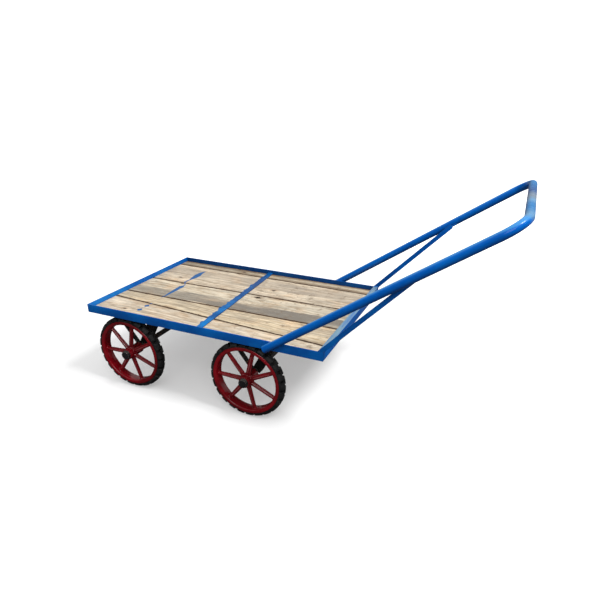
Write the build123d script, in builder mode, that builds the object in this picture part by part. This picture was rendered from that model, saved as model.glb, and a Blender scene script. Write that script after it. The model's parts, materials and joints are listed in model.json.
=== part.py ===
"""Four-wheel hand cart: welded angle frame, plank deck, bent-tube handle and cast spoked wheels.

Millimetres. +X points to the handle end, +Y to the right of a person who pushes from the handle,
+Z up. The origin lies on the floor under the middle of the whole cart.
"""
import os
from math import atan2, cos, hypot, radians, sin, sqrt

from build123d import *

# Deck frame
deck_length = 1200.0
deck_width = 800.0
rail_leg = 40.0
rail_thickness = 4.0
channel_flange = 25.0
channel_thickness = 4.0
member_leg = 30.0
member_thickness = 3.0
front_member_gap = 1.2

# Deck boards, widths at the front end and at the rear end; the second board fills what is left
board_thickness = 15.0
board_seam = 3.0
board_chamfer = 1.5
right_edge_board = (63.0, 72.0)
middle_board = (202.0, 213.0)
left_inner_board = (78.0, 171.0)
left_edge_board = (176.0, 85.0)

# Strip across the boards, its middle measured from the front face at each side
strip_width = 30.0
strip_thickness = 4.0
strip_left_station = 601.0
strip_right_station = 567.0

# Handle and its braces
tube_diameter = 33.7
tube_wall = 2.6
bend_radius = 90.0
handle_reach = 660.0
handle_rise = 597.0
foot_inset = 254.0
foot_drop = 31.0
brace_leg = 20.0
brace_thickness = 3.0
brace_reach = 336.0
brace_top_drop = 10.0

# Wheels
wheel_radius = 183.0
tyre_width = 44.0
tyre_depth = 19.0
tyre_side = 8.0
tread_width = 18.0
shoulder_width = 34.0
shoulder_drop = 5.0
tyre_face_inset = 10.0
tyre_clearance = 3.0
lug_count = 24
lug_groove_width = 15.0
lug_groove_length = 25.0
lug_groove_depth = 16.0
rim_lip_width = 4.0
rim_lip_proud = 2.5
rim_lip_height = 13.0
rim_band = 6.0
rim_draft = 2.5
spoke_count = 7
spoke_hub_offset = 6.0
spoke_rim_offset = 4.0
spoke_hub_width = 24.0
spoke_rim_width = 18.0
spoke_web = 8.0
spoke_rib_width = 8.0
spoke_hub_depth = 19.0
spoke_rim_depth = 16.0
hub_wall = 5.5
hub_nose = 37.0
hub_tail = 53.0
collar_width = 7.0
rest_angles = {"front_left": 29.5, "front_right": 12.0, "rear_left": 25.5, "rear_right": 40.0}

# Bearings, axles and their end fasteners
bearing_bore = 20.0
bearing_ring = 11.0
bearing_width = 12.0
bearing_step = 1.0
cap_plug = 25.7
cap_lip_width = 1.5
cap_lip_height = 2.5
cap_wall = 2.0
cap_room = 12.0
cap_dome = 6.0
axle_diameter = 25.0
axle_chamfer = 1.5
rear_axle_inset = 366.0
nut_width = 27.0
nut_height = 16.0
washer_diameter = 33.0
washer_thickness = 3.0
pin_diameter = 3.4
pin_leg = 4.0
pin_gap = 1.0
sleeve_wall = 3.0

# Hanger legs and stays
leg_leg = 40.0
leg_thickness = 4.0
leg_run = 102.0
leg_gap = 1.0
stay_diameter = 20.0
stay_run = 141.0
stay_gap = 3.0

# Clearances
weld_gap = 0.2
board_slack = 0.5
press_gap = 0.02
running_gap = 0.05
end_gap = 0.3
nut_gap = 2.2
root_ratio = 0.75

# Heights and stations that follow from the sizes above
front_x = -(deck_length + handle_reach + tube_diameter / 2) / 2
rear_x = front_x + deck_length
half_width = deck_width / 2
rail_bottom = 2 * wheel_radius + tyre_clearance
rail_top = rail_bottom + rail_leg
board_bottom = rail_bottom + rail_thickness
board_top = board_bottom + board_thickness
board_edge_gap = root_ratio * rail_thickness + board_slack
inner_half = half_width - rail_thickness
member_under = board_bottom - member_thickness
hanger_rise = member_under - wheel_radius
leg_half_cut = leg_leg / 2 * hypot(leg_run, hanger_rise) / hanger_rise
stay_half_cut = stay_diameter / 2 * hypot(stay_run, hanger_rise) / hanger_rise
member_heel = (1 + root_ratio) * member_thickness + weld_gap
leg_heel = leg_run + leg_half_cut + member_heel
stay_heel = stay_run + stay_half_cut + member_heel
axle_x = {
    "front": front_x + rail_leg + front_member_gap + stay_heel,
    "rear": rear_x - rear_axle_inset,
}
rim_radius = wheel_radius - tyre_depth
rim_width = tyre_width + 2 * rim_lip_proud
seat_radius = rim_radius - rim_lip_height
band_radius = seat_radius - rim_band
bearing_diameter = bearing_bore + 2 * bearing_ring
hub_radius = bearing_diameter / 2 + hub_wall
journal_radius = bearing_bore / 2 - running_gap
wheel_y = half_width - tyre_face_inset - tyre_width / 2

# Places along the hub, measured outward from the middle of the tyre
outer_bearing_face = hub_nose - cap_plug - end_gap
inner_bearing_face = -hub_tail + end_gap + bearing_width
washer_seat = outer_bearing_face + end_gap
nut_seat = washer_seat + washer_thickness
pin_station = nut_seat + nut_height + pin_diameter / 2 + pin_gap
axle_end = pin_station + pin_diameter + pin_gap
cap_inner_radius = nut_width / sqrt(3) + nut_gap
cap_outer_radius = cap_inner_radius + cap_wall
cap_shoulder = axle_end + cap_room

SIDES = {"left": -1, "right": 1}
ENDS = ("front", "rear")


def save(builder, name):
    """Give the piece its name and write it to its own file."""
    builder.part.label = name
    export_step(builder.part, f"parts/{name}.step")


def angle_section(leg, thickness):
    """Rolled angle with its heel at the origin, its legs along +X and +Y and a rounded root."""
    with BuildSketch() as section:
        with BuildLine():
            Polyline(
                (0, 0),
                (leg, 0),
                (leg, thickness),
                (thickness, thickness),
                (thickness, leg),
                (0, leg),
                close=True,
            )
        make_face()
        root = section.vertices().sort_by_distance((thickness, thickness))[0]
        fillet(root, radius=root_ratio * thickness)
    return section.sketch


def wheel_plane(end, side, turn=0.0):
    """Plane in the middle of a tyre, facing outward, turned about the axle."""
    return Plane(
        origin=(axle_x[end], SIDES[side] * wheel_y, wheel_radius),
        x_dir=(cos(radians(turn)), 0, sin(radians(turn))),
        z_dir=(0, SIDES[side], 0),
    )


os.makedirs("parts", exist_ok=True)
rail_section = angle_section(rail_leg, rail_thickness)
member_section = angle_section(member_leg, member_thickness)
leg_section = angle_section(leg_leg, leg_thickness)
brace_section = angle_section(brace_leg, brace_thickness)

# Side rails: angle with the upright leg outside, mitred at the front, flat leg cut away for the channel
for side_name, side in SIDES.items():
    start_x = front_x if side < 0 else rear_x
    with BuildPart() as side_rail:
        with BuildSketch(
            Plane(
                origin=(start_x, side * half_width, rail_bottom),
                x_dir=(0, -side, 0),
                z_dir=(-side, 0, 0),
            )
        ):
            add(rail_section)
        extrude(amount=deck_length)
        mitre = Plane(origin=(front_x, side * half_width, 0), z_dir=(1, side, 0))
        split(bisect_by=mitre, keep=Keep.TOP)
        notch_length = channel_flange + weld_gap
        with BuildSketch(
            Plane(origin=(rear_x - notch_length / 2, side * (inner_half - rail_leg / 2), rail_bottom))
        ):
            Rectangle(notch_length, rail_leg)
        extrude(amount=rail_leg, mode=Mode.SUBTRACT)
    save(side_rail, f"{side_name}_side_rail")

# Front rail: the same angle, mitred at both ends
with BuildPart() as front_rail:
    with BuildSketch(
        Plane(origin=(front_x, half_width, rail_bottom), x_dir=(1, 0, 0), z_dir=(0, -1, 0))
    ):
        add(rail_section)
    extrude(amount=deck_width)
    for side in SIDES.values():
        split(
            bisect_by=Plane(origin=(front_x, side * half_width, 0), z_dir=(-1, -side, 0)),
            keep=Keep.TOP,
        )
save(front_rail, "front_rail")

# Rear channel: web outside, flanges towards the boards, fitted between the side rails
with BuildPart() as rear_channel:
    with BuildSketch(
        Plane(origin=(rear_x, 0, rail_bottom), x_dir=(-1, 0, 0), z_dir=(0, 1, 0))
    ) as channel_section:
        with BuildLine():
            Polyline(
                (0, 0),
                (channel_flange, 0),
                (channel_flange, channel_thickness),
                (channel_thickness, channel_thickness),
                (channel_thickness, rail_leg - channel_thickness),
                (channel_flange, rail_leg - channel_thickness),
                (channel_flange, rail_leg),
                (0, rail_leg),
                close=True,
            )
        make_face()
        roots = channel_section.vertices().sort_by_distance((channel_thickness, rail_leg / 2))[:2]
        fillet(roots, radius=root_ratio * channel_thickness)
    extrude(amount=inner_half - weld_gap, both=True)
save(rear_channel, "rear_channel")

# Cross members under the boards, one over the legs and one over the stays of each axle
member_half = half_width - rail_leg - weld_gap
for end in ENDS:
    members = {
        "leg": (axle_x[end] + leg_heel, -1),
        "stay": (axle_x[end] - stay_heel, 1),
    }
    for member_name, (heel_x, facing) in members.items():
        with BuildPart() as cross_member:
            with BuildSketch(
                Plane(
                    origin=(heel_x, -facing * member_half, board_bottom),
                    x_dir=(facing, 0, 0),
                    z_dir=(0, facing, 0),
                )
            ):
                add(member_section)
            extrude(amount=2 * member_half)
        save(cross_member, f"{end}_{member_name}_cross_member")

# Deck boards laid lengthwise, from the right rail to the left one
board_span = 2 * (inner_half - board_edge_gap)
named_boards = (right_edge_board, middle_board, left_inner_board, left_edge_board)
wide_board = tuple(
    board_span - len(named_boards) * board_seam - sum(board[i] for board in named_boards) for i in (0, 1)
)
boards = {
    "right_edge_board": right_edge_board,
    "right_wide_board": wide_board,
    "middle_board": middle_board,
    "left_inner_board": left_inner_board,
    "left_edge_board": left_edge_board,
}
board_front = front_x + rail_thickness + board_edge_gap
board_rear = rear_x - (1 + root_ratio) * channel_thickness - board_slack
front_y = board_span / 2
rear_y = board_span / 2
for board_name, (front_width, rear_width) in boards.items():
    with BuildPart() as board:
        with BuildSketch(Plane.XY.offset(board_bottom)):
            with BuildLine():
                Polyline(
                    (board_front, front_y),
                    (board_front, front_y - front_width),
                    (board_rear, rear_y - rear_width),
                    (board_rear, rear_y),
                    close=True,
                )
            make_face()
        extrude(amount=board_thickness)
        chamfer(board.edges().group_by(Axis.Z)[-1], length=board_chamfer)
    save(board, board_name)
    front_y -= front_width + board_seam
    rear_y -= rear_width + board_seam

# Flat strip that holds the boards down, welded between the rails a little askew
strip_half = inner_half - weld_gap
with BuildPart() as hold_down_strip:
    with BuildSketch(Plane.XY.offset(board_top)):
        with BuildLine():
            Polyline(
                (front_x + strip_left_station - strip_width / 2, -strip_half),
                (front_x + strip_left_station + strip_width / 2, -strip_half),
                (front_x + strip_right_station + strip_width / 2, strip_half),
                (front_x + strip_right_station - strip_width / 2, strip_half),
                close=True,
            )
        make_face()
    extrude(amount=strip_thickness)
save(hold_down_strip, "hold_down_strip")

# Handle: one tube bent to a U, its legs against the outer faces of the side rails
handle_run = foot_inset + handle_reach
handle_climb = foot_drop + handle_rise
handle_length = hypot(handle_run, handle_climb)
handle_y = half_width + weld_gap + tube_diameter / 2
handle_foot = (rear_x - foot_inset, 0, rail_top - foot_drop)
handle_plane = Plane(
    origin=handle_foot,
    x_dir=(handle_run, 0, handle_climb),
    z_dir=(-handle_climb, 0, handle_run),
)
with BuildPart() as handle:
    with BuildLine(handle_plane) as handle_path:
        FilletPolyline(
            (0, -handle_y),
            (handle_length, -handle_y),
            (handle_length, handle_y),
            (0, handle_y),
            radius=bend_radius,
        )
    with BuildSketch(Plane(origin=handle_path.line @ 0, z_dir=handle_path.line % 0)):
        Circle(tube_diameter / 2)
        Circle(tube_diameter / 2 - tube_wall, mode=Mode.SUBTRACT)
    sweep(path=handle_path.line)
save(handle, "handle")

# Handle braces: small angle from the top of the rear channel up to the inner side of each handle leg
brace_run = brace_reach + channel_flange / 2
brace_climb = (foot_inset + brace_reach) * handle_climb / handle_run - foot_drop - brace_top_drop
brace_length = hypot(brace_run, brace_climb)
brace_slope = atan2(brace_climb, brace_run)
for side_name, side in SIDES.items():
    with BuildPart() as brace:
        heel = (
            rear_x - channel_flange / 2 + brace_leg / 2 * sin(brace_slope),
            side * half_width,
            rail_top - brace_leg / 2 * cos(brace_slope),
        )
        brace_plane = Plane(
            origin=heel,
            x_dir=(-sin(brace_slope), 0, cos(brace_slope)),
            z_dir=(side * cos(brace_slope), 0, side * sin(brace_slope)),
        )
        with BuildSketch(brace_plane.offset(-side * 2 * brace_leg)):
            add(brace_section)
        extrude(amount=side * (brace_length + 2 * brace_leg))
        split(bisect_by=Plane.XY.offset(rail_top + weld_gap), keep=Keep.TOP)
    save(brace, f"{side_name}_handle_brace")

# Axles: bar with turned journals, a shoulder behind each hub and a cross hole near each end
shoulder_y = wheel_y - hub_tail
axle_tip_y = wheel_y + axle_end
for end in ENDS:
    axle_plane = Plane(origin=(axle_x[end], 0, wheel_radius), x_dir=(1, 0, 0), z_dir=(0, 1, 0))
    with BuildPart() as axle:
        with BuildSketch(axle_plane):
            Circle(axle_diameter / 2)
        extrude(amount=shoulder_y, both=True)
        with BuildSketch(axle_plane):
            Circle(journal_radius)
        extrude(amount=axle_tip_y, both=True)
        tips = axle.edges().group_by(Axis.Y)
        chamfer(tips[0] + tips[-1], length=axle_chamfer)
        for side in SIDES.values():
            with BuildSketch(Plane(origin=(axle_x[end], side * (wheel_y + pin_station), wheel_radius))):
                Circle(pin_diameter / 2 + weld_gap)
            extrude(amount=axle_diameter, both=True, mode=Mode.SUBTRACT)
    save(axle, f"{end}_axle")

# Hanger legs of angle behind the axle and round stays in front, coped onto the axle and cut level on top
leg_reach = hypot(leg_run, hanger_rise)
stay_reach = hypot(stay_run, hanger_rise)
stay_y = shoulder_y - stay_gap - stay_diameter / 2
leg_y = stay_y - stay_diameter / 2 - leg_gap
for end in ENDS:
    for side_name, side in SIDES.items():
        cope_plane = Plane(origin=(axle_x[end], side * leg_y, wheel_radius), z_dir=(0, side, 0))
        with BuildPart() as hanger_leg:
            heel = (
                axle_x[end] + leg_leg / 2 * hanger_rise / leg_reach,
                side * leg_y,
                wheel_radius - leg_leg / 2 * leg_run / leg_reach,
            )
            with BuildSketch(
                Plane(
                    origin=heel,
                    x_dir=(-hanger_rise, 0, leg_run),
                    z_dir=(side * leg_run, 0, side * hanger_rise),
                )
            ):
                add(leg_section)
            extrude(amount=side * (leg_reach + leg_leg))
            split(bisect_by=Plane.XY.offset(member_under), keep=Keep.BOTTOM)
            with BuildSketch(cope_plane):
                Circle(axle_diameter / 2 + weld_gap)
            extrude(amount=2 * leg_leg, both=True, mode=Mode.SUBTRACT)
        save(hanger_leg, f"{end}_{side_name}_hanger_leg")

        with BuildPart() as stay:
            with BuildSketch(
                Plane(
                    origin=(axle_x[end], side * stay_y, wheel_radius),
                    x_dir=(0, 1, 0),
                    z_dir=(-stay_run, 0, hanger_rise),
                )
            ):
                Circle(stay_diameter / 2)
            extrude(amount=stay_reach + stay_diameter)
            split(bisect_by=Plane.XY.offset(member_under), keep=Keep.BOTTOM)
            with BuildSketch(cope_plane):
                Circle(axle_diameter / 2 + weld_gap)
            extrude(amount=2 * leg_leg, both=True, mode=Mode.SUBTRACT)
        save(stay, f"{end}_{side_name}_stay")

# One spoke: a cross-shaped arm that tapers from the hub to the rim
spoke_start = hub_radius - hub_wall / 2
spoke_end = band_radius + rim_band / 2
with BuildPart() as spoke:
    for radius, offset, width, depth in (
        (spoke_start, spoke_hub_offset, spoke_hub_width, spoke_hub_depth),
        (spoke_end, spoke_rim_offset, spoke_rim_width, spoke_rim_depth),
    ):
        with BuildSketch(Plane(origin=(radius, 0, offset), x_dir=(0, 1, 0), z_dir=(1, 0, 0))):
            Rectangle(width, spoke_web)
            Rectangle(spoke_rib_width, depth)
    loft(ruled=True)

# Wheel casting: rim with two lips, seven spokes, collar and hub bored for two bearings
rim_half = rim_width / 2
lip_half = rim_half - rim_lip_width
shoulder_radius = bearing_diameter / 2 - bearing_step * 2
with BuildPart() as casting_pattern:
    with BuildSketch(Plane.XZ):
        with BuildLine():
            Polyline(
                (band_radius, spoke_rim_offset - spoke_rim_depth / 2),
                (band_radius + rim_draft, -rim_half),
                (rim_radius, -rim_half),
                (rim_radius, -lip_half),
                (seat_radius, -lip_half),
                (seat_radius, lip_half),
                (rim_radius, lip_half),
                (rim_radius, rim_half),
                (band_radius + rim_draft, rim_half),
                (band_radius, spoke_rim_offset + spoke_rim_depth / 2),
                close=True,
            )
        make_face()
    revolve(axis=Axis.Z)
    with BuildSketch(Plane.XZ):
        with BuildLine():
            Polyline(
                (bearing_diameter / 2 + press_gap, outer_bearing_face - bearing_width),
                (bearing_diameter / 2 + press_gap, hub_nose),
                (hub_radius, hub_nose),
                (hub_radius, spoke_hub_offset + spoke_web / 2),
                (hub_radius + collar_width, spoke_hub_offset + spoke_web / 2),
                (hub_radius + collar_width, spoke_hub_offset - spoke_web / 2),
                (hub_radius, spoke_hub_offset - spoke_web / 2),
                (hub_radius, -hub_tail),
                (bearing_diameter / 2 + press_gap, -hub_tail),
                (bearing_diameter / 2 + press_gap, inner_bearing_face),
                (shoulder_radius, inner_bearing_face),
                (shoulder_radius, outer_bearing_face - bearing_width),
                close=True,
            )
        make_face()
    revolve(axis=Axis.Z)
    with PolarLocations(0, spoke_count):
        add(spoke.part)

# Tyre: solid rubber seated between the rim lips, with staggered lugs round both shoulders
tyre_half = tyre_width / 2
with BuildPart() as tyre_pattern:
    with BuildSketch(Plane.XZ) as tyre_section:
        with BuildLine():
            Polyline(
                (seat_radius + press_gap, -lip_half + weld_gap),
                (rim_radius + weld_gap, -lip_half + weld_gap),
                (rim_radius + weld_gap, -tyre_half),
                (rim_radius + tyre_side, -tyre_half),
                (wheel_radius - shoulder_drop, -shoulder_width / 2),
                (wheel_radius, -tread_width / 2),
                (wheel_radius, tread_width / 2),
                (wheel_radius - shoulder_drop, shoulder_width / 2),
                (rim_radius + tyre_side, tyre_half),
                (rim_radius + weld_gap, tyre_half),
                (rim_radius + weld_gap, lip_half - weld_gap),
                (seat_radius + press_gap, lip_half - weld_gap),
                close=True,
            )
        make_face()
    revolve(axis=Axis.Z)
    for face_sign, stagger in ((1, 0.0), (-1, 180.0 / lug_count)):
        with BuildSketch(Plane.XY.offset(face_sign * tyre_half)):
            with PolarLocations(wheel_radius, lug_count, start_angle=stagger):
                Rectangle(2 * lug_groove_depth, lug_groove_width)
        extrude(amount=-face_sign * lug_groove_length, mode=Mode.SUBTRACT)

# Sealed ball bearing as one ring, with a stepped face at each side
with BuildPart() as bearing_pattern:
    with BuildSketch(Plane.XZ):
        with BuildLine():
            Polyline(
                (bearing_bore / 2, 0),
                (bearing_bore / 2, -bearing_width),
                (bearing_diameter / 2 - bearing_step, -bearing_width),
                (bearing_diameter / 2, -bearing_width + bearing_step),
                (bearing_diameter / 2, -bearing_step),
                (bearing_diameter / 2 - bearing_step, 0),
                close=True,
            )
        make_face()
    revolve(axis=Axis.Z)

# Grease cap: turned cup with a plug in the hub bore, a lip on the hub face and a domed end
dome_radius = (cap_outer_radius**2 + cap_dome**2) / (2 * cap_dome)
dome_middle = cap_shoulder + cap_dome - dome_radius + sqrt(dome_radius**2 - cap_outer_radius**2 / 4)
with BuildPart() as cap_pattern:
    with BuildSketch(Plane.XZ):
        with BuildLine():
            ThreePointArc(
                (cap_outer_radius, cap_shoulder),
                (cap_outer_radius / 2, dome_middle),
                (0, cap_shoulder + cap_dome),
            )
            Polyline(
                (0, cap_shoulder + cap_dome),
                (0, cap_shoulder),
                (cap_inner_radius, cap_shoulder - cap_wall),
                (cap_inner_radius, hub_nose - cap_plug),
                (bearing_diameter / 2, hub_nose - cap_plug),
                (bearing_diameter / 2, hub_nose + weld_gap),
                (bearing_diameter / 2 + cap_lip_width, hub_nose + weld_gap),
                (bearing_diameter / 2 + cap_lip_width, hub_nose + weld_gap + cap_lip_height),
                (cap_outer_radius, hub_nose + weld_gap + cap_lip_height),
                (cap_outer_radius, cap_shoulder),
            )
        make_face()
    revolve(axis=Axis.Z)

# The four wheels: each casting, tyre, pair of bearings and cap set on its axle end
for end in ENDS:
    for side_name in SIDES:
        station = f"{end}_{side_name}"
        turned = wheel_plane(end, side_name, rest_angles[station])
        placed = {
            "wheel_casting": (casting_pattern, turned),
            "tyre": (tyre_pattern, turned),
            "outer_bearing": (bearing_pattern, turned.offset(outer_bearing_face)),
            "inner_bearing": (bearing_pattern, turned.offset(inner_bearing_face)),
            "grease_cap": (cap_pattern, turned),
        }
        for piece_name, (pattern, plane) in placed.items():
            with BuildPart(plane) as wheel_piece:
                add(pattern.part)
            save(wheel_piece, f"{station}_{piece_name}")

# End fasteners and spacer sleeves, one of each at every wheel
stations = [wheel_plane(end, side_name) for end in ENDS for side_name in SIDES]
with BuildPart() as axle_washers:
    for station in stations:
        with BuildSketch(station.offset(washer_seat)):
            Circle(washer_diameter / 2)
            Circle(journal_radius + weld_gap, mode=Mode.SUBTRACT)
        extrude(amount=washer_thickness - press_gap)
save(axle_washers, "axle_washers")

with BuildPart() as axle_nuts:
    for station in stations:
        with BuildSketch(station.offset(nut_seat)):
            RegularPolygon(nut_width / 2, 6, major_radius=False)
            Circle(journal_radius + weld_gap, mode=Mode.SUBTRACT)
        extrude(amount=nut_height)
save(axle_nuts, "axle_nuts")

with BuildPart() as split_pins:
    for station in stations:
        middle = station.offset(pin_station).origin
        eye_radius = pin_diameter
        eye_z = middle.Z + journal_radius + eye_radius
        with BuildSketch(Plane(origin=(middle.X, middle.Y, middle.Z - journal_radius - pin_leg))):
            Circle(pin_diameter / 2)
        extrude(amount=2 * journal_radius + pin_leg + pin_diameter / 4)
        with BuildSketch(Plane(origin=(middle.X, middle.Y, eye_z), x_dir=(1, 0, 0), z_dir=(0, 1, 0))):
            Circle(eye_radius)
            Circle(eye_radius / 2, mode=Mode.SUBTRACT)
        extrude(amount=pin_diameter / 2, both=True)
save(split_pins, "split_pins")

with BuildPart() as bearing_sleeves:
    sleeve_start = inner_bearing_face + end_gap
    sleeve_length = outer_bearing_face - bearing_width - inner_bearing_face - 2 * end_gap
    for station in stations:
        with BuildSketch(station.offset(sleeve_start)):
            Circle(journal_radius + weld_gap + sleeve_wall)
            Circle(journal_radius + weld_gap, mode=Mode.SUBTRACT)
        extrude(amount=sleeve_length)
save(bearing_sleeves, "bearing_sleeves")
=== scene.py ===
import json
import math

import bpy
from mathutils import Matrix, Vector


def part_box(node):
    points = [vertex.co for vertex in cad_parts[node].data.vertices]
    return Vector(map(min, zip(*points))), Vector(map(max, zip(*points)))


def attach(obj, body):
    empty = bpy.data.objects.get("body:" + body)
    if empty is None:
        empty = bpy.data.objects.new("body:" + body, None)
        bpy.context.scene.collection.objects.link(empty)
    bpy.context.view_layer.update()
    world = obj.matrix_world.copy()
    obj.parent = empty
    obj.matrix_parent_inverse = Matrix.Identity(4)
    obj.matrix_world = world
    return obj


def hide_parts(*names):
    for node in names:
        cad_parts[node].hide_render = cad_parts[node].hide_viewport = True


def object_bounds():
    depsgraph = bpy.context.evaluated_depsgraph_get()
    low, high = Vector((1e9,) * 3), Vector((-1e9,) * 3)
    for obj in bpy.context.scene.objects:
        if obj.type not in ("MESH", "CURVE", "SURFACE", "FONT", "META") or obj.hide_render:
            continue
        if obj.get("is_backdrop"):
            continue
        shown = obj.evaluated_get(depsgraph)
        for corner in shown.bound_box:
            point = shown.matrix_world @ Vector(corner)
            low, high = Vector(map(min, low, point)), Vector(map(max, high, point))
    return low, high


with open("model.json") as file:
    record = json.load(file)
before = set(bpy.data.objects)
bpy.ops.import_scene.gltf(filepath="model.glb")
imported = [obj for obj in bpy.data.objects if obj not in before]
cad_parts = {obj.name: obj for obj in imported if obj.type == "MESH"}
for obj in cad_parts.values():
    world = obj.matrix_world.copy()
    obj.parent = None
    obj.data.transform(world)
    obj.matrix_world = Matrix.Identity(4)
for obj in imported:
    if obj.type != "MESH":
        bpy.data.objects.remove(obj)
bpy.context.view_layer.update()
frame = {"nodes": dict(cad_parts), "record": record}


# Deck frame: two side rails and a front rail of rolled 40 mm steel angle, mitred at the front, and a
# channel across the handle end. The bars are welded and brushed with gloss blue enamel by hand.
def take_solid(node, name):
    """Start a piece from a solid: loose triangles merged, flat faces made whole."""
    bpy.ops.object.select_all(action="DESELECT")
    piece = bpy.data.objects.new(name, frame["nodes"][node].data.copy())
    bpy.context.scene.collection.objects.link(piece)
    piece.data.materials.clear()
    bpy.context.view_layer.objects.active = piece
    piece.select_set(True)
    bpy.ops.mesh.customdata_custom_splitnormals_clear()
    bpy.ops.object.mode_set(mode="EDIT")
    bpy.ops.mesh.select_all(action="SELECT")
    bpy.ops.mesh.remove_doubles(threshold=0.00001)
    bpy.ops.mesh.dissolve_limited(angle_limit=math.radians(0.5))
    bpy.ops.object.mode_set(mode="OBJECT")
    return piece


def round_arrises(piece, radius, segments=3, sharper_than=40):
    """Round the sharp edges and mark the rounded faces, where paint wears first."""
    flat, rounded = 0, 1
    for _ in (flat, rounded):
        piece.data.materials.append(None)
    bevel = piece.modifiers.new("arris", "BEVEL")
    bevel.width = radius
    bevel.segments = segments
    bevel.limit_method = "ANGLE"
    bevel.angle_limit = math.radians(sharper_than)
    bevel.material = rounded
    bpy.ops.object.modifier_apply(modifier="arris")
    worn = piece.data.attributes.new("arris", "FLOAT", "FACE")
    for face, mark in zip(piece.data.polygons, worn.data):
        mark.value = face.material_index
        face.material_index = flat
    piece.data.materials.clear()
    bpy.ops.object.shade_smooth_by_angle(angle=math.radians(35))


rail_arris = 0.0012
rails = {}
for bar in ("left_side_rail", "right_side_rail", "front_rail", "rear_channel"):
    rails[bar] = take_solid(bar, f"{bar}_painted")
    round_arrises(rails[bar], rail_arris)


def put(tree, kind, inputs=(), **options):
    """Add a shader node with its options and its sockets, and give its first output."""
    made = tree.nodes.new("ShaderNode" + kind)
    for option, value in options.items():
        setattr(made, option, value)
    for socket, value in dict(inputs).items():
        if isinstance(value, bpy.types.NodeSocket):
            tree.links.new(value, made.inputs[socket])
        else:
            made.inputs[socket].default_value = value
    return made.outputs[0]


def calc(tree, operation, first, second=0.0, third=0.0):
    """One step of arithmetic on masks."""
    return put(tree, "Math", {0: first, 1: second, 2: third}, operation=operation)


def ease(tree, value, low, high, to_low=0.0, to_high=1.0):
    """A soft step of a mask from low to high."""
    sockets = {"Value": value, "From Min": low, "From Max": high, "To Min": to_low, "To Max": to_high}
    return put(tree, "MapRange", sockets, interpolation_type="SMOOTHSTEP")


def tint(tree, factor, first, second, mode="MIX"):
    """Mix two colours by a mask."""
    sockets = {0: factor, 6: first, 7: second}
    return put(tree, "Mix", sockets, data_type="RGBA", blend_type=mode).node.outputs[2]


def cloud(tree, place, scale, detail=3.0, roughness=0.5):
    """Soft noise, in patches of about one over scale metres."""
    sockets = {"Vector": place, "Scale": scale, "Detail": detail, "Roughness": roughness}
    return put(tree, "TexNoise", sockets)


def axis(tree, place, name):
    """One axis of a place or direction."""
    return put(tree, "SeparateXYZ", {0: place}).node.outputs[name]


def facing(tree, name):
    """How squarely the surface faces along an axis, from -1 to 1."""
    return axis(tree, put(tree, "NewGeometry").node.outputs["Normal"], name)


def open_group(name, inputs, outputs):
    """A new node group with its named sockets, as the tree, what comes in and what goes out."""
    tree = bpy.data.node_groups.new(name, "ShaderNodeTree")
    kinds = {0: "NodeSocketFloat", 3: "NodeSocketVector", 4: "NodeSocketColor"}
    for label, value in inputs.items():
        length = len(value) if isinstance(value, tuple) else 0
        socket = tree.interface.new_socket(label, in_out="INPUT", socket_type=kinds[length])
        socket.default_value = value
    for label, length in outputs.items():
        tree.interface.new_socket(label, in_out="OUTPUT", socket_type=kinds[length])
    return tree, tree.nodes.new("NodeGroupInput").outputs, tree.nodes.new("NodeGroupOutput").inputs


# Old brushed paint, on the frame, wheels, hangers and caps alike
old_paint, given, result = open_group(
    "Old paint",
    {
        "Strokes": (0.0, 0.0, 0.0),
        "Paint": (0.0, 0.0, 0.0, 1.0),
        "Faded": (0.0, 0.0, 0.0, 1.0),
        "Bare": (0.0, 0.0, 0.0, 1.0),
        "Dust": (0.3, 0.27, 0.23, 1.0),
        "Chipping": 0.2,
        "Dustiness": 0.3,
        "Gloss": 0.2,
        "Arris": 0.0,
    },
    {"Color": 4, "Roughness": 0, "Height": 0},
)
here = put(old_paint, "TexCoord").node.outputs["Object"]
strokes = cloud(old_paint, given["Strokes"], 1.0, 4.0, 0.6)
fade = ease(old_paint, cloud(old_paint, here, 5.0), 0.35, 0.7)
mottle = cloud(old_paint, here, 60.0, 4.0)
tone = calc(old_paint, "MULTIPLY_ADD", strokes, 0.5, calc(old_paint, "MULTIPLY", fade, 0.6))
tone = calc(old_paint, "MULTIPLY_ADD", mottle, 0.4, calc(old_paint, "SUBTRACT", tone, 0.3))
flakes = cloud(old_paint, here, 130.0, 5.0, 0.65)
flakes = calc(old_paint, "MULTIPLY_ADD", cloud(old_paint, here, 9.0), 0.4, flakes)
flakes = calc(old_paint, "MULTIPLY_ADD", given["Arris"], 0.2, flakes)
edge = calc(old_paint, "MULTIPLY_ADD", given["Chipping"], -0.4, 1.02)
chips = ease(old_paint, flakes, edge, calc(old_paint, "ADD", edge, 0.03))
patches = ease(old_paint, cloud(old_paint, here, 16.0), 0.3, 0.75)
settled = calc(old_paint, "MULTIPLY", ease(old_paint, facing(old_paint, "Z"), 0.3, 1.0), patches)
settled = calc(old_paint, "MULTIPLY", settled, given["Dustiness"])
color = tint(old_paint, ease(old_paint, tone, 0.1, 0.9), given["Paint"], given["Faded"])
color = tint(old_paint, chips, color, given["Bare"])
old_paint.links.new(tint(old_paint, settled, color, given["Dust"]), result["Color"])
rough = calc(old_paint, "MULTIPLY_ADD", strokes, 0.2, calc(old_paint, "SUBTRACT", given["Gloss"], 0.1))
rough = calc(old_paint, "MULTIPLY_ADD", settled, 0.5, calc(old_paint, "MULTIPLY_ADD", chips, 0.45, rough))
old_paint.links.new(rough, result["Roughness"])
relief = calc(old_paint, "MULTIPLY_ADD", strokes, 0.5, calc(old_paint, "MULTIPLY", mottle, 0.4))
relief = calc(old_paint, "SUBTRACT", relief, calc(old_paint, "MULTIPLY", chips, 0.6))
old_paint.links.new(relief, result["Height"])


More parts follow.
